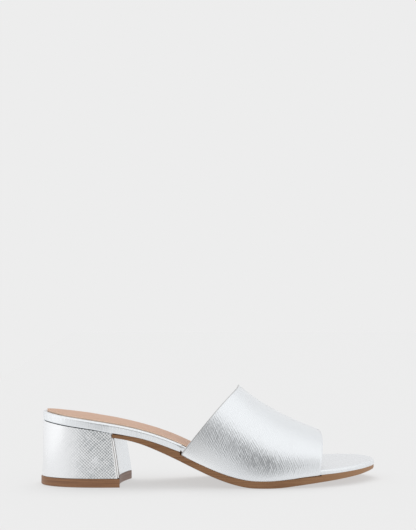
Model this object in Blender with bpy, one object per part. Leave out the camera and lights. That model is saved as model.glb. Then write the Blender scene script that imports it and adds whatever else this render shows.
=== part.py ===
"""Heeled sandal, right shoe: a slide with one wide vamp strap, a covered block heel and a thin outsole.

Sizes are in millimetres and become metres when a mesh is made. While the shoe is shaped, X runs from
the back of the heel to the toe, +Y is the inner (medial) side and Z is the height above the floor.
"""

import math

import bmesh
import bpy
import numpy as np

MM = 0.001
SEAM_GAP = 0.3  # room left between two pieces that touch
FACET_ROOM = 0.2  # more room where two curved walls lie side by side

LENGTH = 248.6  # back of the heel to the tip of the toe
HEEL_BACK_SIDE = -1.0  # sideways place of the rearmost point
TOE_TIP_SIDE = 15.6  # sideways place of the foremost point

# Tread outline of the sole: distance along the shoe, then outer and inner half widths
OUTLINE_COLUMNS = ("along", "lateral", "medial")
OUTLINE = (
    (2.6, 11.2, 8.8),
    (9.0, 18.4, 16.0),
    (19.0, 24.2, 21.8),
    (34.0, 27.6, 23.8),
    (52.0, 28.4, 21.8),
    (70.0, 27.6, 20.4),
    (90.0, 27.9, 23.0),
    (108.0, 30.4, 27.2),
    (125.0, 34.2, 31.4),
    (145.0, 39.1, 35.8),
    (162.0, 41.2, 39.4),
    (178.0, 39.4, 42.2),
    (196.0, 35.0, 44.2),
    (212.0, 28.3, 44.9),
    (226.0, 18.6, 43.8),
    (236.0, 9.2, 39.9),
    (243.6, -1.5, 33.0),
    (247.4, -8.4, 24.6),
)

# Side profile: heights of the footbed's top, the outsole's top and the outsole's underside
PROFILE_COLUMNS = ("along", "footbed_top", "outsole_top", "outsole_under")
PROFILE = (
    (0.0, 53.8, 46.7, 43.4),
    (14.0, 51.4, 44.2, 41.0),
    (28.0, 49.4, 42.2, 39.2),
    (42.0, 47.2, 40.2, 37.3),
    (56.0, 44.8, 37.7, 34.9),
    (70.0, 41.6, 34.5, 31.4),
    (84.0, 37.4, 30.1, 25.8),
    (98.0, 32.1, 24.7, 19.3),
    (112.0, 25.3, 18.0, 12.5),
    (126.0, 18.8, 11.9, 6.3),
    (140.0, 14.1, 7.6, 1.9),
    (151.0, 12.2, 5.8, 0.0),
    (168.0, 11.9, 5.9, 0.0),
    (184.0, 12.3, 7.1, 1.4),
    (200.0, 12.9, 8.3, 2.9),
    (216.0, 13.4, 8.9, 4.2),
    (232.0, 14.0, 9.5, 5.5),
    (248.6, 14.5, 10.2, 7.6),
)

# Sections of the last under the strap: ridge height, its sideways place and how full the section is
INSTEP_COLUMNS = ("along", "ridge_height", "ridge_side", "fullness")
INSTEP = (
    (98.0, 107.0, 0.5, 2.05),
    (120.0, 90.5, 1.5, 2.10),
    (144.0, 71.8, 2.5, 2.20),
    (162.0, 58.6, 4.5, 2.25),
    (180.0, 48.3, 5.5, 2.35),
    (198.0, 40.3, 6.5, 2.45),
    (212.0, 34.8, 7.0, 2.50),
)

# Edges of the strap, measured along the shoe at the sole's two sides and on the ridge;
# a sweep says how the edge runs forward between that side and the ridge
STRAP_EDGE_COLUMNS = ("lateral", "ridge", "medial", "lateral_sweep", "medial_sweep")
STRAP_BACK = (101.0, 144.5, 112.0, 0.94, 0.62)
STRAP_FRONT = (200.6, 205.4, 203.9, 0.8, 0.8)
STRAP_WALL = 1.6
STRAP_MARGIN = 9.0  # lasted edge turned in between footbed and outsole
STRAP_MARGIN_WALL = 1.0  # skived thickness of that edge
STRAP_CORNER = 1.9  # height of the turn from the margin to the side
MARGIN_ROOM = 1.4  # free room beyond the margin's cut edge
STRAP_ROWS = 14
STRAP_ARCH_STEPS = 22

MARGIN_SEAT = 0.5  # how far the footbed's underside is relieved for the margin
OUTSOLE_REBATE = STRAP_MARGIN_WALL + SEAM_GAP - MARGIN_SEAT
SLOT_CLEARANCE = 1.0  # along the shoe, at each end of the strap's slot
SLOT_LEAN = 1.3  # the slot's back end leans with the strap's edge over the footbed's height
SLOT_WALL = 0.2

SOCK_THICKNESS = 0.8
SOCK_BORDER = 2.6
SOCK_END = 152.0

HEEL_INSET = 0.4
HEEL_BREAST = (52.3, 60.2)  # at the seat, outer and inner corner
HEEL_BREAST_HOLLOW = 3.6
HEEL_STRETCH = 1.10  # the block grows lengthways towards the floor
HEEL_TAPER = 0.965  # and narrows
HEEL_CENTRE = -2.6
HEEL_BACK_FLARE = 0.6
HEEL_LEVELS = 6
LIFT_THICKNESS = 6.1
LIFT_OVERHANG = 0.5
LIFT_CHAMFER = 0.5

FOOTBED_CANT = 0.02  # the forefoot rises this much per millimetre towards the inner side
FOOTBED_CANT_FROM = 130.0
FOOTBED_CANT_FULL = 200.0
FOOTBED_ROUND = 1.7  # rounded upper edge of the footbed
FOOTBED_FOOT = 0.7  # chamfer of its lower edge
OUTSOLE_EDGE = 0.5


def column(table, columns, name):
    """One named column of a table."""
    place = columns.index(name)
    return np.array([row[place] for row in table])


def smooth_curve(table, columns, name):
    """A curve through one column that never overshoots its rows, so flat stretches stay flat."""
    xs = column(table, columns, "along")
    ys = column(table, columns, name)
    steps = np.diff(xs)
    slopes = np.diff(ys) / steps
    tangents = np.empty_like(ys)
    tangents[0] = slopes[0]
    tangents[-1] = slopes[-1]
    for i in range(1, len(ys) - 1):
        before, after = slopes[i - 1], slopes[i]
        tangents[i] = 0.0 if before * after <= 0 else 2 * before * after / (before + after)

    def height(x):
        x = np.clip(x, xs[0], xs[-1])
        i = np.clip(np.searchsorted(xs, x, side="right") - 1, 0, len(steps) - 1)
        t = (x - xs[i]) / steps[i]
        rise = (3 - 2 * t) * t * t
        return (
            ys[i] * (1 - rise)
            + ys[i + 1] * rise
            + steps[i] * t * (1 - t) * ((1 - t) * tangents[i] - t * tangents[i + 1])
        )

    return height


footbed_top = smooth_curve(PROFILE, PROFILE_COLUMNS, "footbed_top")
outsole_top = smooth_curve(PROFILE, PROFILE_COLUMNS, "outsole_top")
outsole_under = smooth_curve(PROFILE, PROFILE_COLUMNS, "outsole_under")
ridge_height = smooth_curve(INSTEP, INSTEP_COLUMNS, "ridge_height")
ridge_side = smooth_curve(INSTEP, INSTEP_COLUMNS, "ridge_side")
fullness = smooth_curve(INSTEP, INSTEP_COLUMNS, "fullness")


def footbed_under(x):
    return outsole_top(x) + SEAM_GAP


def footbed_surface(plan):
    """Height of the footbed's top, canted a little over the forefoot."""
    x = plan[..., 0]
    fade = np.clip((x - FOOTBED_CANT_FROM) / (FOOTBED_CANT_FULL - FOOTBED_CANT_FROM), 0, 1)
    return footbed_top(x) + FOOTBED_CANT * fade * plan[..., 1]


class Side:
    """One side of the tread outline, from the back of the heel to the tip of the toe."""

    def __init__(self, points, normals):
        self.points = points
        self.normal = normals
        run = np.linalg.norm(np.diff(points, axis=0), axis=1)
        self.arc = np.concatenate([[0.0], np.cumsum(run)])

    def arc_at(self, x):
        """Arc length where the outline reaches the distance x along the shoe."""
        return np.interp(x, self.points[:, 0], self.arc)

    def at(self, arc, inset=0.0):
        """Plan point at an arc length, moved in from the edge."""
        place = np.array([np.interp(arc, self.arc, self.points[:, k]) for k in (0, 1)])
        normal = np.array([np.interp(arc, self.arc, self.normal[:, k]) for k in (0, 1)])
        return place + normal / np.linalg.norm(normal) * inset

    def stations(self, runs):
        """Arc lengths evenly spread over each run (from x, to x, count)."""
        spread = [
            np.linspace(self.arc_at(start), self.arc_at(end), count)
            for start, end, count in runs
        ]
        return np.concatenate(spread)


def outline_sides(steps=12):
    """The closed outline as a smooth loop through the table's rows, split at heel and toe."""
    along = column(OUTLINE, OUTLINE_COLUMNS, "along")
    lateral = -column(OUTLINE, OUTLINE_COLUMNS, "lateral")
    medial = column(OUTLINE, OUTLINE_COLUMNS, "medial")
    heel = [(0.0, HEEL_BACK_SIDE)]
    toe = [(LENGTH, TOE_TIP_SIDE)]
    near = list(zip(along, lateral))
    far = list(zip(along, medial))
    loop = np.array(heel + near + toe + far[::-1])
    dense = []
    for i in range(len(loop)):
        p = [loop[(i + k) % len(loop)] for k in (-1, 0, 1, 2)]
        knots = np.concatenate(
            [[0.0], np.cumsum([math.dist(p[k], p[k + 1]) ** 0.5 for k in range(3)])]
        )
        start = ((p[1] - p[0]) / (knots[1] - knots[0]) - (p[2] - p[0]) / (knots[2] - knots[0])
                 + (p[2] - p[1]) / (knots[2] - knots[1])) * (knots[2] - knots[1])
        end = ((p[2] - p[1]) / (knots[2] - knots[1]) - (p[3] - p[1]) / (knots[3] - knots[1])
               + (p[3] - p[2]) / (knots[3] - knots[2])) * (knots[2] - knots[1])
        for t in np.linspace(0, 1, steps, endpoint=False):
            dense.append(
                (2 * t**3 - 3 * t**2 + 1) * p[1]
                + (t**3 - 2 * t**2 + t) * start
                + (3 * t**2 - 2 * t**3) * p[2]
                + (t**3 - t**2) * end
            )
    dense = np.array(dense)
    tangent = np.roll(dense, -1, axis=0) - np.roll(dense, 1, axis=0)
    tangent /= np.linalg.norm(tangent, axis=1)[:, None]
    inward = np.stack([-tangent[:, 1], tangent[:, 0]], axis=1)
    toe_at = (len(near) + 1) * steps
    near_side = np.arange(toe_at + 1)
    far_side = np.append(np.arange(toe_at, len(dense)), 0)[::-1]
    return Side(dense[near_side], inward[near_side]), Side(dense[far_side], inward[far_side])


LATERAL, MEDIAL = outline_sides()
SIDES = (LATERAL, MEDIAL)


def plan_grid(runs, insets, strip=None, middle=3):
    """Plan points in rows across the shoe. Runs and insets are given for both sides, run by run;
    a strip puts two close columns near each edge, where a step in height lies."""
    borders = []
    for side, side_runs in zip(SIDES, runs):
        depth = np.concatenate(
            [np.full(run[2], inset) for run, inset in zip(side_runs, insets)]
        )
        borders.append([side.at(arc, d) for arc, d in zip(side.stations(side_runs), depth)])
    rows = []
    for near, far in zip(*borders):
        width = math.dist(near, far)
        shares = list(np.linspace(0, 1, middle + 2))
        if strip:
            first = min(strip / max(width, 1e-9), 0.2)
            second = min((strip + 0.4) / max(width, 1e-9), 0.24)
            shares = [0.0, first, *np.linspace(second, 1 - second, middle), 1 - first, 1.0]
        rows.append([near + (far - near) * share for share in shares])
    return np.array(rows)


def raised(plan, height):
    """A plan grid lifted to a height, which is a function of the point's place."""
    lifted = np.zeros((*plan.shape[:2], 3))
    lifted[:, :, :2] = plan
    lifted[:, :, 2] = height(plan)
    return lifted


def rim(grid):
    """The grid's border points, once around."""
    last_row = grid[-1, 1:-1]
    first_row = grid[0, 1:-1][::-1]
    return np.concatenate([grid[:, 0], last_row, grid[::-1, -1], first_row])


def material(name, colour, roughness, metallic=0.0):
    made = bpy.data.materials.new(name)
    made.use_nodes = True
    shader = made.node_tree.nodes["Principled BSDF"]
    shader.inputs["Base Color"].default_value = (*colour, 1.0)
    shader.inputs["Roughness"].default_value = roughness
    shader.inputs["Metallic"].default_value = metallic
    made.diffuse_color = (*colour, 1.0)
    return made


def solid(name, layers, finish, crease=35.0):
    """A closed body: the first and last layer are full faces, those between are rings."""
    mesh_builder = bmesh.new()
    rows, columns = layers[0].shape[:2]
    rings = []
    for number, layer in enumerate(layers):
        if number in (0, len(layers) - 1):
            face = [[mesh_builder.verts.new(point * MM) for point in row] for row in layer]
            for r in range(rows - 1):
                for c in range(columns - 1):
                    quad = (face[r][c], face[r + 1][c], face[r + 1][c + 1], face[r][c + 1])
                    mesh_builder.faces.new(quad)
            ring = [row[0] for row in face] + face[-1][1:-1]
            ring += [row[-1] for row in face[::-1]] + face[0][1:-1][::-1]
        else:
            ring = [mesh_builder.verts.new(point * MM) for point in rim(layer)]
        rings.append(ring)
    for upper, lower in zip(rings, rings[1:]):
        for i in range(len(upper)):
            following = (i + 1) % len(upper)
            mesh_builder.faces.new((upper[i], upper[following], lower[following], lower[i]))
    bmesh.ops.remove_doubles(mesh_builder, verts=mesh_builder.verts, dist=1e-6)
    bmesh.ops.recalc_face_normals(mesh_builder, faces=mesh_builder.faces)
    mesh = bpy.data.meshes.new(name)
    mesh_builder.to_mesh(mesh)
    mesh_builder.free()
    mesh.shade_smooth()
    mesh.set_sharp_from_angle(angle=math.radians(crease))
    mesh.materials.append(finish)
    made = bpy.data.objects.new(name, mesh)
    bpy.context.collection.objects.link(made)
    return made


def slot_runs(start, lean=0.0):
    """Runs on both sides before, inside and after the strap's slot; start is None at the heel."""
    both = []
    for number, (back, front) in enumerate(
        ((STRAP_BACK[0], STRAP_FRONT[0]), (STRAP_BACK[2], STRAP_FRONT[2]))
    ):
        first = 0.0 if start is None else start[number]
        opens = back - SLOT_CLEARANCE + lean * SLOT_LEAN
        closes = front + SLOT_CLEARANCE + lean * SLOT_WALL
        heel_count = 14 if start is None else 9
        both.append(
            (
                (first, opens - SLOT_WALL, heel_count),
                (opens, closes, 15),
                (closes + SLOT_WALL, LENGTH, 12),
            )
        )
    return both


def in_slot(runs):
    """For each row, 1 inside the strap's slot and 0 outside it."""
    before, inside, after = (run[2] for run in runs[0])
    return np.concatenate([np.zeros(before), np.ones(inside), np.zeros(after)])[:, None]


def edge_strip(columns, width=2):
    """For each column, 1 in the strips near both edges and 0 between them."""
    strip = np.zeros(columns)
    strip[:width] = 1.0
    strip[-width:] = 1.0
    return strip[None, :]


def make_footbed(finish):
    """Board wrapped in leather: the foot lies on it, its edge is the rand."""
    relief = STRAP_WALL + SEAM_GAP + FACET_ROOM
    strip = STRAP_MARGIN + MARGIN_ROOM - relief
    edge = (
        (FOOTBED_ROUND, 0.0, 1.0),
        (FOOTBED_ROUND * 0.35, FOOTBED_ROUND * 0.25, 1.0),
        (0.0, FOOTBED_ROUND, 0.9),
    )
    layers = []
    for inset, drop, lean in edge:
        runs = slot_runs(None, lean)
        plan = plan_grid(runs, (inset, inset + relief, inset), strip)
        layers.append(raised(plan, lambda p, drop=drop: footbed_surface(p) - drop))
    runs = slot_runs(None)
    slot = in_slot(runs) * edge_strip(layers[0].shape[1])
    for inset, rise in ((0.0, FOOTBED_FOOT), (FOOTBED_FOOT, 0.0)):
        plan = plan_grid(runs, (inset, inset + relief, inset), strip)
        layers.append(
            raised(plan, lambda p, rise=rise: footbed_under(p[:, :, 0]) + slot * MARGIN_SEAT + rise)
        )
    return solid("footbed", layers, finish)


def make_outsole(finish):
    """Thin sole from the heel breast to the toe, with a shallow rebate for the strap's margins."""
    start = [corner + SEAM_GAP + 0.5 for corner in HEEL_BREAST]
    runs = slot_runs(start)
    strip = STRAP_MARGIN + MARGIN_ROOM

    def bowed(inset):
        plan = plan_grid(runs, (inset, inset, inset), strip)
        rows, columns = plan.shape[:2]
        fade = np.clip(1 - np.arange(rows) / 6, 0, 1)[:, None] ** 2
        across = np.linalg.norm(plan - plan[:, :1], axis=2)
        share = across / np.maximum(across[:, -1:], 1e-9)
        plan[:, :, 0] -= HEEL_BREAST_HOLLOW * 4 * share * (1 - share) * fade
        return plan

    slot = in_slot(runs) * edge_strip(bowed(0.0).shape[1])
    layers = [
        raised(bowed(0.0), lambda p: outsole_top(p[:, :, 0]) - slot * OUTSOLE_REBATE),
        raised(bowed(0.0), lambda p: outsole_under(p[:, :, 0]) + OUTSOLE_EDGE),
        raised(bowed(OUTSOLE_EDGE), lambda p: outsole_under(p[:, :, 0])),
    ]
    return solid("outsole", layers, finish)


def make_sock(finish):
    """Inner sole lining, set in from the footbed's edge, from the heel to under the strap."""
    runs = [((0.0, SOCK_END, 24),), ((0.0, SOCK_END, 24),)]
    layers = []
    for inset, level in ((0.5, SOCK_THICKNESS), (0.0, SOCK_THICKNESS - 0.3), (0.0, 0.0)):
        plan = plan_grid(runs, (SOCK_BORDER + inset,))
        layers.append(
            raised(plan, lambda p, level=level: footbed_surface(p) + SEAM_GAP + level)
        )
    return solid("insole_sock", layers, finish)


def heel_plan(level, grow=0.0):
    """Plan grid of the heel, from the seat (level 0) to the top lift (level 1)."""
    runs = [((0.0, corner, 14),) for corner in HEEL_BREAST]
    plan = plan_grid(runs, (HEEL_INSET - grow,))
    rows, columns = plan.shape[:2]
    fade = np.linspace(0, 1, rows)[:, None] ** 3
    share = np.linspace(0, 1, columns)[None, :]
    plan[:, :, 0] -= HEEL_BREAST_HOLLOW * 4 * share * (1 - share) * fade
    stretch = 1 + (HEEL_STRETCH - 1) * level
    taper = 1 + (HEEL_TAPER - 1) * math.sin(level * math.pi / 2)
    plan[:, :, 0] = plan[:, :, 0] * stretch - HEEL_BACK_FLARE * level**4
    plan[:, :, 1] = HEEL_CENTRE + (plan[:, :, 1] - HEEL_CENTRE) * taper
    return plan


def make_heel_block(finish):
    """Block heel: its top follows the seat, its front is hollowed."""
    foot = LIFT_THICKNESS + SEAM_GAP
    layers = []
    for level in np.linspace(0, 1, HEEL_LEVELS):
        plan = heel_plan(level)
        seat = footbed_under(heel_plan(0.0)[:, :, 0]) - SEAM_GAP
        layers.append(
            raised(plan, lambda p, seat=seat, level=level: seat + (foot - seat) * level)
        )
    return solid("heel_block", layers, finish)


def make_top_lift(finish):
    """Replaceable tread of the heel, flat on the floor."""
    edge = (
        (LIFT_OVERHANG - LIFT_CHAMFER, LIFT_THICKNESS),
        (LIFT_OVERHANG, LIFT_THICKNESS - LIFT_CHAMFER),
        (LIFT_OVERHANG, LIFT_CHAMFER),
        (LIFT_OVERHANG - LIFT_CHAMFER, 0.0),
    )
    layers = [
        raised(heel_plan(1.0, grow), lambda p, level=level: np.full(p.shape[:2], level))
        for grow, level in edge
    ]
    return solid("top_lift", layers, finish)


def strap_row(share):
    """Where one strap section stands on the sole's two sides, and the points of its outer face
    from side to side over the ridge. The share runs from the back edge to the front edge."""
    between = (back + (front - back) * share for back, front in zip(STRAP_BACK, STRAP_FRONT))
    edge_at = dict(zip(STRAP_EDGE_COLUMNS, between))
    arch = []
    for angle in np.linspace(0, math.pi, STRAP_ARCH_STEPS + 1):
        name, side = ("lateral", LATERAL) if angle <= math.pi / 2 else ("medial", MEDIAL)
        start = edge_at[name]
        x = start + (edge_at["ridge"] - start) * math.sin(angle) ** edge_at[name + "_sweep"]
        edge = side.at(side.arc_at(x))[1]
        power = 2 / fullness(x)
        foot = outsole_top(x) - OUTSOLE_REBATE + SEAM_GAP + STRAP_CORNER
        y = ridge_side(x) + (edge - ridge_side(x)) * abs(math.cos(angle)) ** power
        z = foot + (ridge_height(x) - foot) * math.sin(angle) ** power
        arch.append((x, y, z))
    return edge_at["lateral"], edge_at["medial"], np.array(arch)


def turned_margin(side, x):
    """Outer and inner points of the turned-in edge, from its free end to the foot of the side."""
    arc = side.arc_at(x)
    outer_path = ((STRAP_MARGIN, 0.0), (5.0, 0.0), (1.9, 0.0), (0.55, 0.45))
    wall = STRAP_MARGIN_WALL
    inner_path = ((STRAP_MARGIN, wall), (5.0, wall), (2.6, wall), (1.85, wall + 0.25))
    paths = []
    for path in (outer_path, inner_path):
        points = []
        for inset, rise in path:
            px, py = side.at(arc, inset)
            points.append((px, py, outsole_top(px) - OUTSOLE_REBATE + SEAM_GAP + rise))
        paths.append(points)
    return paths


def make_upper(finish):
    """Wide vamp strap over the forefoot: one wall, open at the toe, the heel and underneath."""
    arches, margins = [], []
    for share in np.linspace(0, 1, STRAP_ROWS):
        lateral, medial, arch = strap_row(share)
        arches.append(arch)
        margins.append((turned_margin(LATERAL, lateral), turned_margin(MEDIAL, medial)))
    arches = np.array(arches)
    along = np.gradient(arches, axis=0)
    across = np.gradient(arches, axis=1)
    normal = np.cross(along, across)
    normal /= np.linalg.norm(normal, axis=2)[:, :, None]
    outer, inner = [], []
    for row, ((near_outer, near_inner), (far_outer, far_inner)) in enumerate(margins):
        inside = arches[row] - normal[row] * STRAP_WALL
        outer.append([*near_outer, *arches[row], *far_outer[::-1]])
        inner.append([*near_inner, *inside, *far_inner[::-1]])
    return solid("upper_strap", [np.array(outer), np.array(inner)], finish, crease=50.0)


def stand_at_origin(pieces):
    """Moves the shoe so that the middle of its bounding box, on the floor, is the origin."""
    points = np.array([vertex.co for piece in pieces for vertex in piece.data.vertices])
    middle = (points.min(axis=0) + points.max(axis=0)) / 2
    for piece in pieces:
        for vertex in piece.data.vertices:
            vertex.co.x -= middle[0]
            vertex.co.y -= middle[1]
            vertex.co.z -= points[:, 2].min()


def build_shoe():
    for old in list(bpy.data.objects):
        bpy.data.objects.remove(old, do_unlink=True)
    silver = material("silver_leather", (0.72, 0.72, 0.70), 0.38, 0.7)
    silver_rand = material("silver_rand", (0.70, 0.70, 0.68), 0.34, 0.7)
    tan = material("tan_sock", (0.60, 0.43, 0.33), 0.6)
    brown = material("brown_sole", (0.28, 0.15, 0.09), 0.5)
    dark_brown = material("brown_top_lift", (0.19, 0.095, 0.055), 0.5)
    stand_at_origin(
        [
            make_outsole(brown),
            make_footbed(silver_rand),
            make_sock(tan),
            make_heel_block(silver),
            make_top_lift(dark_brown),
            make_upper(silver),
        ]
    )


build_shoe()
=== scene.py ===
import math

import bpy
import numpy as np
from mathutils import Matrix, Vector
from mathutils.kdtree import KDTree


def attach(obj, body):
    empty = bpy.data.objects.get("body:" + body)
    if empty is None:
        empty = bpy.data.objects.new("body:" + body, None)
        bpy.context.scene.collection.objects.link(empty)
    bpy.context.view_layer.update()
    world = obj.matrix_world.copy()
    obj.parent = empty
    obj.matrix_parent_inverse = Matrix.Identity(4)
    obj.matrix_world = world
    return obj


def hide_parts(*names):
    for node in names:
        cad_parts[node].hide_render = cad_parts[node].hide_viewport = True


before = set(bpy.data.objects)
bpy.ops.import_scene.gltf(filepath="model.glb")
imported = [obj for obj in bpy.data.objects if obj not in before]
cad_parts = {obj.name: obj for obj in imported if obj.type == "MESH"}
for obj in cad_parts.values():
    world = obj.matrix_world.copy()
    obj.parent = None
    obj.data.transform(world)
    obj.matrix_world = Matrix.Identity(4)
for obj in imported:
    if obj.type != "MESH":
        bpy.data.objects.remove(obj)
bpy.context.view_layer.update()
mm = 0.001


class Flow:
    # a socket of a node tree; arithmetic on it adds Math nodes
    def __init__(self, tree, socket=None):
        self.tree = tree
        self.socket = socket

    def add(self, kind, settings=None, inputs=None, output=0):
        # any other node: its settings first, then the values or links of its sockets
        node = self.tree.nodes.new(kind)
        for name, value in (settings or {}).items():
            setattr(node, name, value)
        for name, value in (inputs or {}).items():
            if isinstance(value, Flow):
                self.tree.links.new(value.socket, node.inputs[name])
            else:
                node.inputs[name].default_value = value
        return Flow(self.tree, node.outputs[output])

    def calc(self, operation, *values, clamp=False):
        settings = {"operation": operation, "use_clamp": clamp}
        return self.add("ShaderNodeMath", settings, dict(enumerate(values)))

    def __add__(self, other):
        return self.calc("ADD", self, other)

    def __sub__(self, other):
        return self.calc("SUBTRACT", self, other)

    def __rsub__(self, other):
        return self.calc("SUBTRACT", other, self)

    def __mul__(self, other):
        return self.calc("MULTIPLY", self, other)

    def __truediv__(self, other):
        return self.calc("DIVIDE", self, other)

    __radd__ = __add__
    __rmul__ = __mul__

    def clamped(self):
        return self.calc("ADD", self, 0.0, clamp=True)

    def smooth(self, low, high):
        # 0 below low, 1 above high, with soft ends
        settings = {"interpolation_type": "SMOOTHSTEP"}
        return self.add("ShaderNodeMapRange", settings, {"Value": self, "From Min": low, "From Max": high})

    def blend(self, low, high):
        # this socket as the share between two colours
        settings = {"data_type": "RGBA", "clamp_factor": True}
        first, second = (colour if isinstance(colour, Flow) else (*colour, 1.0) for colour in (low, high))
        return self.add("ShaderNodeMix", settings, {0: self, 6: first, 7: second}, output=2)


def newMaterial(name, fixed, paint):
    # fixed values stand on the shader's own sockets, painted ones are linked to it
    material = bpy.data.materials.new(name)
    material.use_nodes = True
    tree = material.node_tree
    shader = tree.nodes["Principled BSDF"]
    for socket, value in fixed.items():
        shader.inputs[socket].default_value = value
    for socket, value in paint(Flow(tree)).items():
        tree.links.new(value.socket, shader.inputs[socket])
    return material


inMillimetres = (1000.0, 1000.0, 1000.0)


def objectPlace(flow):
    # a point of the piece
    place = flow.add("ShaderNodeTexCoord", output="Object")
    return flow.add("ShaderNodeMapping", {}, {"Vector": place, "Scale": inMillimetres})


def surfacePlace(flow):
    # the piece's own map of its surface
    place = flow.add("ShaderNodeUVMap", {"uv_map": "surface"})
    return flow.add("ShaderNodeMapping", {}, {"Vector": place, "Scale": inMillimetres})


def breastPlace(flow):
    # the breast faces forward: its points by side and height
    place = flow.add("ShaderNodeTexCoord", output="Object")
    turn = (math.radians(-90), math.radians(-90), 0.0)
    return flow.add("ShaderNodeMapping", {}, {"Vector": place, "Rotation": turn, "Scale": inMillimetres})


def scaledPlace(flow, place, scale):
    return flow.add("ShaderNodeMapping", {}, {"Vector": place, "Scale": scale})


def turnedPlace(flow, place, angle, scale, shift=0.0):
    # the place turned on the surface, then measured in lengths along it and widths across it
    inputs = {
        "Vector": place,
        "Location": (shift, shift, 0.0),
        "Rotation": (0.0, 0.0, math.radians(angle)),
        "Scale": scale,
    }
    return flow.add("ShaderNodeMapping", {"vector_type": "TEXTURE"}, inputs)


def part(flow, place, axis):
    return flow.add("ShaderNodeSeparateXYZ", {}, {"Vector": place}, output=axis)


def attribute(flow, name):
    return flow.add("ShaderNodeAttribute", {"attribute_name": name}, output="Fac")


def noise(flow, place, size, detail=2.0, roughness=0.5, dimensions="3D"):
    settings = {"noise_dimensions": dimensions}
    inputs = {"Vector": place, "Scale": 1.0 / size, "Detail": detail, "Roughness": roughness}
    return flow.add("ShaderNodeTexNoise", settings, inputs)


def bumped(flow, height, look):
    inputs = {"Strength": look["bumpStrength"], "Distance": look["bumpDepth"], "Height": height}
    return flow.add("ShaderNodeBump", {}, inputs)


pressing = {
    "wobbleSize": (9.0, 4.0, 1.0),
    "stripWidth": 0.8,  # a ridge comes and goes alone, with little of its neighbours
    "stripFade": 0.3,
}


def pressedLines(flow, place, lines, angle, shift):
    # fine ridges that run one way at nearly even distances, and come and go along their length
    bent = turnedPlace(flow, place, angle, pressing["wobbleSize"], shift)
    wobble = noise(flow, bent, 1.0, dimensions="2D")
    across = part(flow, turnedPlace(flow, place, angle, (1.0, 1.0, 1.0)), 1)
    phase = across / lines["spacing"] + wobble * lines["wobble"]
    ridge = flow.calc("POWER", flow.calc("COSINE", phase * math.tau) * 0.5 + 0.5, lines["thin"])
    stripSize = (lines["length"], lines["spacing"] * pressing["stripWidth"], 1.0)
    strip = noise(flow, turnedPlace(flow, place, angle, stripSize, shift), 1.0, detail=1.0, dimensions="2D")
    return ridge * strip.smooth(lines["rare"], lines["rare"] + pressing["stripFade"])


def silverPaint(look, placeOf):
    def paint(flow):
        place = placeOf(flow)
        along = part(flow, place, 0)
        ridges = []
        for angle, shift in zip(look["angles"], (0.0, look["apart"])):
            ridges.append(pressedLines(flow, place, look["lines"], angle, shift))
        pressed = flow.calc("MAXIMUM", *ridges)
        depth = ridges[0] * look["firstDepth"] + ridges[1]
        fine = noise(flow, place, look["grainSize"])
        share = noise(flow, place, look["patchSize"]).smooth(*look["patchRange"])
        if look["smoothBelow"]:
            share = share * along.smooth(*look["smoothBelow"])
        if look["smoothFoot"]:
            foot = attribute(flow, "foot") + along * look["footLean"]
            share = share * foot.smooth(*look["smoothFoot"])
        if look["rimToneAndHighlight"]:
            inside = attribute(flow, "rim").smooth(*look["rimWidth"])
            share = share * inside
        height = depth * share + fine * look["grainShare"]
        if look["rollHeight"]:
            roll = attribute(flow, "front").smooth(0.0, look["rollWidth"])
            height = height + roll * look["rollHeight"]

        plainShade = look["plainColour"]
        # painted shade: where a look asks for it, the plain colour darkens along the piece
        if look["paintedShadeFront"]:
            plainShade = along.smooth(*look["paintedShadeSpan"]).blend(plainShade, look["paintedShadeFront"])
        shade = share.blend(plainShade, pressed.blend(look["valleyColour"], look["ridgeColour"]))
        # towards the rim the colour goes to the rim's own shade: the strap's greyer cut edge, and a painted
        # highlight along the heel's fold
        if look["rimToneAndHighlight"]:
            shade = inside.blend((look["rimToneAndHighlight"],) * 3, shade)
        # painted shadow: darker towards one end of the piece
        if look["paintedShadowSpan"]:
            shade = along.smooth(*look["paintedShadowSpan"]).blend(look["paintedShadowColour"], shade)
        rough = look["roughness"] + fine * look["grainRough"] - pressed * look["ridgeGloss"]
        rough = rough + (1.0 - share) * look["plainRough"]
        return {"Base Color": shade, "Roughness": rough, "Normal": bumped(flow, height, look)}
    return paint


# sizes on the leather are in millimetres, the bump's depth is in metres
silverLook = {
    "plainColour": (0.890, 0.915, 0.940),
    "paintedShadeFront": None,
    "ridgeColour": (0.897, 0.923, 0.947),
    "valleyColour": (0.868, 0.894, 0.919),
    "angles": (45.0, -45.0),
    "apart": 37.0,
    "lines": {"spacing": 1.45, "thin": 1.6, "length": 6.0, "wobble": 0.6, "rare": 0.30},
    "firstDepth": 1.0,
    "patchSize": 12.0,
    "patchRange": (0.2, 0.5),
    "smoothBelow": None,
    "smoothFoot": None,
    "grainSize": 0.9,
    "grainShare": 0.12,
    "roughness": 0.21,
    "grainRough": 0.08,
    "ridgeGloss": 0.05,
    "plainRough": 0.0,
    "bumpStrength": 1.0,
    "bumpDepth": 0.00002,
    "rimToneAndHighlight": None,
    "rollHeight": None,
    "paintedShadowSpan": None,
}
strapLook = {
    **silverLook,
    "plainColour": (0.955, 0.973, 0.988),
    # painted shade: the plain leather is lighter at the back and darker towards the front
    "paintedShadeFront": (0.865, 0.888, 0.912),
    "paintedShadeSpan": (-12.0, 16.0),
    "angles": (-60.0, 60.0),
    "lines": {"spacing": 1.4, "thin": 1.6, "length": 4.5, "wobble": 1.0, "rare": 0.33},
    "smoothBelow": (-30.0, 10.0),
    "smoothFoot": (8.0, 20.0),  # plain above its lower edge, more so towards the back
    "footLean": 0.2,
    "roughness": 0.165,
    "plainRough": 0.08,
    "bumpDepth": 0.00006,
    "rimToneAndHighlight": 0.56,  # the cut edge is greyer
    "rimWidth": (0.4, 1.1),
    "rollHeight": 4.5,  # the front edge is turned in
    "rollWidth": 1.5,
}
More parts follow.
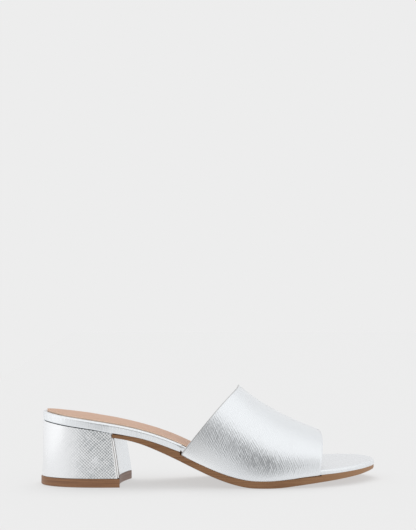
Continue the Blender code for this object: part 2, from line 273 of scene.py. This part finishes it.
heelLook = {
    **silverLook,
    "plainColour": (0.928, 0.938, 0.954),
    "ridgeColour": (0.985, 0.995, 1.0),
    "valleyColour": (0.560, 0.590, 0.605),
    "angles": (45.0, -44.0),
    "apart": 51.0,
    "lines": {"spacing": 1.55, "thin": 1.8, "length": 8.0, "wobble": 0.5, "rare": 0.22},
    "firstDepth": 0.7,
    "smoothBelow": (-18.0, 16.0),  # no lines on the back
    "roughness": 0.17,
    "bumpDepth": 0.00010,
    "rimToneAndHighlight": 0.97,  # painted highlight: bright where the cover is folded
    "rimWidth": (0.7, 1.3),
}
randLook = {
    **silverLook,
    "plainColour": (0.873, 0.899, 0.923),
    "lines": {**silverLook["lines"], "spacing": 1.2, "length": 4.0},
    "roughness": 0.22,
    "bumpDepth": 0.00003,
}
# the footbed's top, painted a little darker than the rand's side as shade
toeLook = {
    **silverLook,
    "plainColour": (0.850, 0.865, 0.888),
    "ridgeColour": (0.850, 0.865, 0.888),
    "valleyColour": (0.845, 0.860, 0.883),
    "roughness": 0.26,
    "bumpDepth": 0.00001,
    "paintedShadowSpan": (76.0, 83.0),  # painted shadow of the strap, darker beside it
    "paintedShadowColour": (0.73, 0.74, 0.76),
}
metalShare = {"Metallic": 0.96, "Specular IOR Level": 0.5}
strapLeather = newMaterial("strapLeather", metalShare, silverPaint(strapLook, surfacePlace))
heelLeather = newMaterial("heelLeather", metalShare, silverPaint(heelLook, surfacePlace))
breastLeather = newMaterial("breastLeather", metalShare, silverPaint(silverLook, breastPlace))
randLeather = newMaterial("randLeather", metalShare, silverPaint(randLook, objectPlace))
toeLeather = newMaterial("toeLeather", metalShare, silverPaint(toeLook, objectPlace))

shadeRange = (0.3, 0.7)  # where the noises of the plain materials go from dark to light
liningLook = {
    "dark": (0.72, 0.70, 0.67),
    "light": (0.79, 0.77, 0.74),
    "cloudSize": 14.0,
    "grainSize": 0.9,
    "roughness": 0.5,
    "grainRough": 0.15,
    "bumpStrength": 0.5,
    "bumpDepth": 0.00008,
}
sockLook = {
    "dark": (0.57, 0.335, 0.215),
    "light": (0.73, 0.465, 0.330),
    "streakScale": (0.10, 0.8, 0.5),
    "streakShare": 0.45,
    "grainSize": 1.1,
    "grainShare": 0.55,
    "roughness": 0.46,
    "grainRough": 0.12,
    "bumpStrength": 0.5,
    "bumpDepth": 0.00008,
}
soleLook = {
    "layerScale": (0.03, 0.03, 1.4),
    "layerShare": 0.75,
    "grainSize": 0.5,
    "grainShare": 0.25,
    "grainHeight": 0.5,
    "toeLightSpan": (40.0, 120.0),  # painted light: it is lighter on the way to the toe, where the sole curves up
    "roughness": 0.4,
    "grainRough": 0.15,
    "bumpStrength": 0.4,
    "bumpDepth": 0.00006,
}
edgeLook = {
    "grainSize": 0.6,
    "roughness": 0.45,
    "grainRough": 0.2,
    "bumpStrength": 0.5,
    "bumpDepth": 0.00005,
}


def painted(flow, look, colour, grain, height):
    rough = grain * look["grainRough"] + look["roughness"]
    return {"Base Color": colour, "Roughness": rough, "Normal": bumped(flow, height, look)}


def liningPaint(flow):
    place = objectPlace(flow)
    grain = noise(flow, place, liningLook["grainSize"], detail=4.0)
    cloud = noise(flow, place, liningLook["cloudSize"])
    colour = cloud.smooth(*shadeRange).blend(liningLook["dark"], liningLook["light"])
    return painted(flow, liningLook, colour, grain, grain)


def sockPaint(flow):
    place = objectPlace(flow)
    streak = noise(flow, scaledPlace(flow, place, sockLook["streakScale"]), 1.0, detail=4.0, roughness=0.6)
    grain = noise(flow, place, sockLook["grainSize"], detail=4.0, roughness=0.6)
    tone = streak * sockLook["streakShare"] + grain * sockLook["grainShare"]
    colour = tone.smooth(*shadeRange).blend(sockLook["dark"], sockLook["light"])
    return painted(flow, sockLook, colour, grain, grain)


def solePaint(dark, light, toe=None):
    def paint(flow):
        place = objectPlace(flow)
        layer = noise(flow, scaledPlace(flow, place, soleLook["layerScale"]), 1.0, detail=3.0, roughness=0.6)
        grain = noise(flow, place, soleLook["grainSize"], detail=3.0)
        tone = layer * soleLook["layerShare"] + grain * soleLook["grainShare"]
        colour = tone.smooth(*shadeRange).blend(dark, light)
        # painted light: the sole lighter towards the toe
        if toe:
            colour = part(flow, place, 0).smooth(*soleLook["toeLightSpan"]).blend(colour, toe)
        return painted(flow, soleLook, colour, grain, layer + grain * soleLook["grainHeight"])
    return paint


def edgePaint(dark, light):
    def paint(flow):
        grain = noise(flow, objectPlace(flow), edgeLook["grainSize"], detail=3.0)
        colour = grain.smooth(*shadeRange).blend(dark, light)
        return painted(flow, edgeLook, colour, grain, grain)
    return paint


lining = newMaterial("strapLining", {"Specular IOR Level": 0.4}, liningPaint)
sockLeather = newMaterial("sockLeather", {"Specular IOR Level": 0.4}, sockPaint)
sockEdge = newMaterial(
    "sockEdge",
    {"Specular IOR Level": 0.4},
    edgePaint(dark=(0.84, 0.60, 0.45), light=(0.93, 0.70, 0.54)),
)
strapEdge = newMaterial(
    "strapEdge",
    {"Specular IOR Level": 0.3},
    edgePaint(dark=(0.66, 0.66, 0.67), light=(0.76, 0.76, 0.77)),
)
rawEdge = newMaterial(
    "rawEdge",
    {"Specular IOR Level": 0.2},
    edgePaint(dark=(0.08, 0.06, 0.05), light=(0.14, 0.105, 0.085)),
)
soleBrown = newMaterial(
    "soleBrown",
    {"Specular IOR Level": 0.25},
    solePaint(dark=(0.190, 0.088, 0.040), light=(0.335, 0.178, 0.087), toe=(0.385, 0.213, 0.112)),
)
liftBrown = newMaterial(
    "liftBrown",
    {"Specular IOR Level": 0.45},
    solePaint(dark=(0.195, 0.090, 0.041), light=(0.345, 0.168, 0.080)),
)
liftFront = newMaterial(
    "liftFront",
    {"Specular IOR Level": 0.25},
    solePaint(dark=(0.270, 0.185, 0.155), light=(0.420, 0.310, 0.265)),
)
print("materials are made")


def editOn(piece):
    bpy.ops.object.select_all(action="DESELECT")
    piece.select_set(True)
    bpy.context.view_layer.objects.active = piece
    bpy.ops.object.mode_set(mode="EDIT")
    bpy.ops.mesh.select_mode(type="FACE")


def editOff():
    bpy.ops.object.mode_set(mode="OBJECT")


def mergedCopy(node, name):
    # a copy of a solid whose loose triangles are joined again and turned back to quads
    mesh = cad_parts[node].data.copy()
    mesh.name = name
    mesh.materials.clear()
    piece = bpy.data.objects.new(name, mesh)
    bpy.context.collection.objects.link(piece)
    editOn(piece)
    bpy.ops.mesh.select_all(action="SELECT")
    bpy.ops.mesh.customdata_custom_splitnormals_clear()
    bpy.ops.mesh.remove_doubles(threshold=0.02 * mm)
    bpy.ops.mesh.tris_convert_to_quads(face_threshold=math.radians(60), shape_threshold=math.radians(80))
    editOff()
    return piece


def shiftFaces(piece, chosen, move=(0.0, 0.0, 0.0), scale=None):
    # moves or scales the faces that chosen picks by their place and normal
    editOn(piece)
    bpy.ops.mesh.select_all(action="DESELECT")
    editOff()
    for face in piece.data.polygons:
        face.select = chosen(face.center, face.normal)
    editOn(piece)
    if scale:
        bpy.ops.transform.resize(value=scale, center_override=(0.0, 0.0, 0.0))
    bpy.ops.transform.translate(value=move)
    editOff()


def liftSpans(piece, spans, chosen):
    # raises or lowers the chosen faces, on each stretch of the shoe by its own amount
    for start, end, rise in spans:
        shiftFaces(
            piece,
            lambda place, normal: chosen(place, normal) and start < place.x < end,
            move=(0.0, 0.0, rise),
        )


def pickPoints(piece, chosen):
    # selects the points that chosen picks by their place, then the edges between them
    editOn(piece)
    bpy.ops.mesh.select_all(action="DESELECT")
    editOff()
    for point in piece.data.vertices:
        point.select = chosen(point.co)
    editOn(piece)
    bpy.ops.mesh.select_mode(type="VERT")
    bpy.ops.mesh.select_mode(type="EDGE")


def applyModifier(piece, kind, **settings):
    modifier = piece.modifiers.new(kind.lower(), kind)
    for name, value in settings.items():
        setattr(modifier, name, value)
    bpy.ops.object.select_all(action="DESELECT")
    piece.select_set(True)
    bpy.context.view_layer.objects.active = piece
    bpy.ops.object.modifier_apply(modifier=modifier.name)


def roundOff(piece, rounding, sharp=50.0):
    # smooths the faces, keeps the sharp edges in place and then rounds them
    sharpness = math.radians(sharp)
    editOn(piece)
    bpy.ops.mesh.select_mode(type="EDGE")
    bpy.ops.mesh.select_all(action="DESELECT")
    bpy.ops.mesh.edges_select_sharp(sharpness=sharpness)
    bpy.ops.transform.edge_crease(value=1.0)
    editOff()
    applyModifier(piece, "SUBSURF", levels=2, render_levels=2)
    applyModifier(piece, "BEVEL", width=rounding, segments=3, limit_method="ANGLE", angle_limit=sharpness)
    piece.data.shade_smooth()
    applyModifier(piece, "WEIGHTED_NORMAL", keep_sharp=True)


def dress(piece, slot, *materials):
    for material in materials:
        piece.data.materials.append(material)
    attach(piece, "root")


def paintFaces(piece, number, chosen):
    # another one of the piece's materials for the faces that chosen picks
    for face in piece.data.polygons:
        if chosen(face):
            face.material_index = number


def giveMap(piece, mapOf):
    # a surface map in metres: mapOf takes all points and gives where they lie along and across
    mesh = piece.data
    points = np.empty(len(mesh.vertices) * 3)
    mesh.vertices.foreach_get("co", points)
    flat = mapOf(points.reshape(-1, 3))
    corners = np.empty(len(mesh.loops), dtype=np.int32)
    mesh.loops.foreach_get("vertex_index", corners)
    layer = mesh.uv_layers.new(name="surface")
    layer.uv.foreach_set("vector", flat[corners].ravel())


def giveDistance(piece, name, chosen):
    # how far each point is from the points that chosen picks, in millimetres
    edge = [point.co for point in piece.data.vertices if chosen(point)]
    tree = KDTree(len(edge))
    for number, place in enumerate(edge):
        tree.insert(place, number)
    tree.balance()
    layer = piece.data.attributes.new(name, "FLOAT", "POINT")
    layer.data.foreach_set("value", [tree.find(point.co)[2] / mm for point in piece.data.vertices])


strap = {
    "axisSide": 3.0 * mm,  # the middle line that its wall runs round
    "axisHeight": 10.0 * mm,
    "reach": 50 * mm,  # the wall's distance from it, at reachFrom, for the surface map
    "reachFrom": -20 * mm,
    "reachTaper": 0.25,
    "turnDrops": (  # its lower turn meets the sole
        (-90 * mm, -12 * mm, -0.45 * mm),
        (-12 * mm, 38 * mm, -0.9 * mm),
        (38 * mm, 90 * mm, -0.4 * mm),
    ),
    "turnTop": 26 * mm,
    "farSide": 6.5 * mm,
    "farMove": 1.6 * mm,
    "liningAbove": 11 * mm,
    "rimAbove": 12 * mm,
    "edgeAbove": 20 * mm,
    "rounding": 0.7 * mm,
}


def strapMap(points):
    # along the shoe, and round the section from its outer foot over the ridge
    side = points[:, 1] - strap["axisSide"]
    height = points[:, 2] - strap["axisHeight"]
    around = np.arctan2(height, -side)
    around = np.where(around < -math.pi / 2, around + math.tau, around)
    reach = strap["reach"] - strap["reachTaper"] * (points[:, 0] - strap["reachFrom"])
    return np.stack([points[:, 0], around * reach], axis=1)


def makeStrap():
    piece = mergedCopy("upper_strap", "strap")
    liftSpans(
        piece,
        strap["turnDrops"],
        lambda place, normal: normal.z < -0.3 and place.z < strap["turnTop"],
    )
    shiftFaces(
        piece,
        lambda place, normal: normal.x < -0.5 and place.y > strap["farSide"] and place.z > strap["turnTop"],
        move=(strap["farMove"], 0.0, 0.0),
    )
    roundOff(piece, strap["rounding"])
    giveMap(piece, strapMap)
    giveDistance(piece, "rim", lambda point: point.normal.x < -0.6 and point.co.z > strap["rimAbove"])
    giveDistance(piece, "front", lambda point: point.normal.x > 0.6)
    giveDistance(piece, "foot", lambda point: point.normal.z < -0.6 and point.co.z < strap["turnTop"])
    dress(piece, "silver_leather", strapLeather, lining, strapEdge)
    axis = Vector((0.0, strap["axisSide"], strap["axisHeight"]))

    def isInner(face):
        inward = axis - face.center
        inward.x = 0.0
        return face.normal.dot(inward.normalized()) > 0.3 and face.center.z > strap["liningAbove"]

    paintFaces(piece, 1, isInner)
    paintFaces(piece, 2, lambda face: face.normal.x < -0.25 and face.center.z > strap["edgeAbove"])
    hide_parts("upper_strap")


heel = {
    "turnCentre": (-98.0 * mm, -2.6 * mm),
    "turnRadius": 25.0 * mm,
    "frontFoot": -66.4 * mm,  # the near front corner runs from here at the floor
    "frontLean": -0.135,  # back by this share of its height
    "frontMove": -0.02,  # and a little more than in the solid
    "frontStep": 0.5 * mm,  # all of it this much further forward
    "cornerSide": -25 * mm,
    "cornerDepth": 1.5 * mm,
    "levelRoom": 0.5 * mm,
    "foldWidth": 1.5 * mm,
    "foldSide": -24 * mm,
    "foldDepth": 2.5 * mm,
    "foldMiddle": -28.9 * mm,
    "foldMove": -0.6 * mm,
    "outerEdge": 0.17 * mm,
    "innerEdge": 0.42 * mm,
    "rounding": 0.5 * mm,
}


def heelMap(points):
    # round the heel: straight along both sides, turning about its back
    along = points[:, 0] - heel["turnCentre"][0]
    side = points[:, 1] - heel["turnCentre"][1]
    around = np.arctan2(-along, np.abs(side)) * heel["turnRadius"]
    run = np.where(along > 0, along, -np.maximum(around, 0.0))
    return np.stack([run, points[:, 2]], axis=1)


def beforeFront(place):
    # how far a point lies in front of the near corner's line
    return place.x - heel["frontFoot"] - (heel["frontLean"] + heel["frontMove"]) * place.z


def atCorner(place):
    return place.y < heel["cornerSide"] and beforeFront(place) > -heel["cornerDepth"]


def inFold(place):
    return place.y < heel["foldSide"] and beforeFront(place) > -heel["foldDepth"]


def makeHeel():
    piece = mergedCopy("heel_block", "heelCover")
    dress(piece, "silver_heel", heelLeather, rawEdge, breastLeather)

    # the near front corner is set right at each of its heights
    heights = sorted({round(point.co.z, 4) for point in piece.data.vertices if atCorner(point.co)})
    for height in heights:
        pickPoints(piece, lambda place: atCorner(place) and abs(place.z - height) < heel["levelRoom"])
        bpy.ops.transform.translate(value=(heel["frontMove"] * height + heel["frontStep"], 0.0, 0.0))
        editOff()

    # the cover is folded round it, with a cut edge on each side of the fold
    pickPoints(piece, atCorner)
    bpy.ops.mesh.bevel(offset=heel["foldWidth"], segments=1, affect="EDGES", clamp_overlap=False)
    editOff()
    inner = heel["foldMiddle"] - heel["foldMove"]
    pickPoints(piece, lambda place: inFold(place) and place.y > inner)
    bpy.ops.transform.translate(value=(0.0, heel["foldMove"], 0.0))
    editOff()
    for outer, width in ((True, heel["outerEdge"]), (False, heel["innerEdge"])):
        pickPoints(piece, lambda place: inFold(place) and (place.y < heel["foldMiddle"]) == outer)
        bpy.ops.mesh.bevel(offset=width, segments=1, affect="EDGES", material=1)
        bpy.ops.transform.edge_crease(value=1.0)
        editOff()

    roundOff(piece, heel["rounding"], sharp=40.0)
    paintFaces(piece, 2, lambda face: face.material_index == 0 and face.normal.x > 0.6)
    giveMap(piece, heelMap)
    # the distance from the cut edges, for the painted highlight along the fold
    cutEdge = {number for face in piece.data.polygons if face.material_index == 1 for number in face.vertices}
    giveDistance(piece, "rim", lambda point: point.index in cutEdge)
    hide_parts("heel_block")


rand = {
    "undercuts": (  # the side leans in towards its lower edge
        (-130 * mm, -66 * mm, (0.998, 0.988, 1.0)),
        (-66 * mm, 20 * mm, (1.0, 0.980, 1.0)),
    ),
    "slotFront": (77 * mm, 82 * mm),
    "slotMove": -1.6 * mm,
    "drops": (  # its lower edge meets the sole at the toe, the heel's seat and the start of the sole
        (76 * mm, 130 * mm, -0.8 * mm),
        (-130 * mm, -73 * mm, -0.25 * mm),
        (-73 * mm, -56 * mm, -0.6 * mm),
    ),
    "sideLoop": 0.35 * mm,
    "rounding": 0.25 * mm,
}


def makeRand():
    piece = mergedCopy("footbed", "footbedCover")
    for start, end, scale in rand["undercuts"]:
        shiftFaces(piece, lambda place, normal: normal.z < -0.5 and start < place.x < end, scale=scale)
    start, end = rand["slotFront"]
    shiftFaces(
        piece,
        lambda place, normal: normal.x < -0.5 and start < place.x < end,
        move=(rand["slotMove"], 0.0, 0.0),
    )
    liftSpans(piece, rand["drops"], lambda place, normal: normal.z < -0.3)
    shiftFaces(piece, lambda place, normal: abs(normal.z) < 0.25)
    editOn(piece)
    bpy.ops.mesh.inset(thickness=rand["sideLoop"], depth=0.0)
    editOff()
    roundOff(piece, rand["rounding"])
    dress(piece, "silver_rand", randLeather, toeLeather)
    # the top faces take the toe's look: painted shade, and a painted shadow beside the strap
    paintFaces(piece, 1, lambda face: face.normal.z > 0.93)
    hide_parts("footbed")


sock = {
    "settle": -0.27 * mm,  # it lies on the footbed
    "backFrom": -112 * mm,
    "backMove": 0.9 * mm,
    "rounding": 0.2 * mm,
}


def makeSock():
    piece = mergedCopy("insole_sock", "sockLining")
    shiftFaces(piece, lambda place, normal: normal.z < -0.7, move=(0.0, 0.0, sock["settle"]))
    shiftFaces(
        piece,
        lambda place, normal: normal.x < -0.5 and place.x < sock["backFrom"],
        move=(sock["backMove"], 0.0, 0.0),
    )
    roundOff(piece, sock["rounding"])
    dress(piece, "tan_sock", sockLeather, sockEdge)
    paintFaces(piece, 1, lambda face: face.normal.z < 0.6)
    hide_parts("insole_sock")


outsole = {
    "rises": (
        (-130 * mm, 130 * mm, 0.24 * mm),
        (-56 * mm, -26 * mm, 0.5 * mm),  # under the arch it covers the rand's lower edge
        (-130 * mm, -56 * mm, -0.4 * mm),  # it starts thin
    ),
    "startFrom": (-60 * mm, -12 * mm),  # on the outer side it starts further back
    "startMove": -1.7 * mm,
    "rounding": 0.25 * mm,
}


def makeOutsole():
    piece = mergedCopy("outsole", "outsoleSheet")
    liftSpans(piece, outsole["rises"], lambda place, normal: normal.z > 0.5)
    along, side = outsole["startFrom"]
    shiftFaces(
        piece,
        lambda place, normal: normal.x < -0.5 and place.x < along and place.y < side,
        move=(outsole["startMove"], 0.0, 0.0),
    )
    roundOff(piece, outsole["rounding"])
    dress(piece, "brown_outsole", soleBrown)
    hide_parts("outsole")


lift = {
    "rounding": 0.25 * mm,
}


def makeLift():
    piece = mergedCopy("top_lift", "heelTread")
    roundOff(piece, lift["rounding"], sharp=40.0)
    dress(piece, "brown_lift", liftBrown, liftFront)
    paintFaces(piece, 1, lambda face: face.normal.x > 0.7)
    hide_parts("top_lift")


makeStrap()
makeHeel()
makeRand()
makeSock()
makeOutsole()
makeLift()
print("the shoe is dressed")


studio = {
    "backdrop": 0.847,  # plain pale grey, seen behind the shoe
    "backLight": 0.86,
    "frontLight": 0.99,
    "frontRange": (-0.75, 0.45),
    "sideLight": 0.06,  # more light from the left
    "sideRange": (0.4, 0.9),
    "lowRange": (0.0, 0.4),
    "dimDepth": 0.26,  # low on the camera's side the room is dimmer
    "dimSides": (0.70, 0.92),
    "darkDepth": 0.45,  # and darkest right behind the camera
    "darkHeight": (0.15, 0.55),  # from there up it is bright again
    "darkSides": (0.24, 0.45),  # and to its left and right
    "darkTurn": 0.065,
    "darkLean": 0.4,  # the dark part leans to the left as it rises
    "floorCorner": (-0.27, -0.215),  # the sheet of floor paper starts here and runs back and to the right
    "floorSize": 4.0,
    "floorGlow": 0.556,
    "floorTone": 0.19,
    "floorLight": 2.0,  # soft light from above, for the floor alone
    "floorLightAngle": 48.0,
    "floorLightLean": -23.0,
}


def makeRoom():
    world = bpy.data.worlds.new("studio")
    bpy.context.scene.world = world
    world.use_nodes = True
    tree = world.node_tree
    tree.nodes.clear()
    flow = Flow(tree)
    direction = flow.add("ShaderNodeTexCoord", output="Generated")
    across, depth, up = (part(flow, direction, axis) for axis in range(3))
    front = (0.0 - depth).smooth(*studio["frontRange"])
    left = (0.0 - across).smooth(*studio["sideRange"])
    low = (1.0 - up.smooth(*studio["darkHeight"])) * (0.0 - depth).smooth(*studio["lowRange"])
    beside = across - studio["darkTurn"]
    aside = flow.calc("ABSOLUTE", beside)
    leaned = flow.calc("ABSOLUTE", beside + up.clamped() * studio["darkLean"])
    dim = (1.0 - aside.smooth(*studio["dimSides"])) * studio["dimDepth"]
    dark = (1.0 - leaned.smooth(*studio["darkSides"])) * studio["darkDepth"]
    light = studio["backLight"] + front * (studio["frontLight"] - studio["backLight"])
    light = light + left * studio["sideLight"] - low * (dim + dark)
    seen = flow.add("ShaderNodeLightPath", output="Is Camera Ray")
    strength = seen * studio["backdrop"] + (1.0 - seen) * light
    background = flow.add("ShaderNodeBackground", {}, {"Color": (1.0, 1.0, 1.0, 1.0), "Strength": strength})
    out = tree.nodes.new("ShaderNodeOutputWorld")
    tree.links.new(background.socket, out.inputs["Surface"])


def makeFloor():
    bpy.ops.object.select_all(action="DESELECT")
    half = studio["floorSize"] / 2
    middle = [low + half for low in studio["floorCorner"]] + [0.0]
    bpy.ops.mesh.primitive_plane_add(size=studio["floorSize"], location=middle)
    floor = bpy.context.active_object
    floor.name = "floor"
    fixed = {
        "Roughness": 1.0,
        "Specular IOR Level": 0.0,
        "Base Color": (studio["floorTone"],) * 3 + (1.0,),
        "Emission Color": (studio["floorGlow"],) * 3 + (1.0,),
        "Emission Strength": 1.0,
    }
    floor.data.materials.append(newMaterial("floorPaper", fixed, lambda flow: {}))

    sun = bpy.data.lights.new("floorLight", "SUN")
    sun.energy = studio["floorLight"]
    sun.angle = math.radians(studio["floorLightAngle"])
    lamp = bpy.data.objects.new("floorLight", sun)
    lamp.rotation_euler.x = math.radians(studio["floorLightLean"])
    bpy.context.collection.objects.link(lamp)
    lit = bpy.data.collections.new("litByFloorLight")
    lit.objects.link(floor)
    lamp.light_linking.receiver_collection = lit


camera = {
    "place": (-0.06035, -0.95527, 0.138),
    "turn": (91.322, 0.0, -3.5),
    "lens": 87.42,
    "sensor": 36.0,
    "clip": (0.05, 60.0),
}


def makeCamera():
    data = bpy.data.cameras.new("camera")
    data.lens = camera["lens"]
    data.sensor_width = camera["sensor"]
    data.clip_start, data.clip_end = camera["clip"]
    shot = bpy.data.objects.new("camera", data)
    bpy.context.collection.objects.link(shot)
    shot.location = camera["place"]
    shot.rotation_euler = [math.radians(angle) for angle in camera["turn"]]
    bpy.context.scene.camera = shot
    bpy.context.scene.view_settings.view_transform = "Standard"


makeRoom()
makeFloor()
makeCamera()
print("the studio is set")
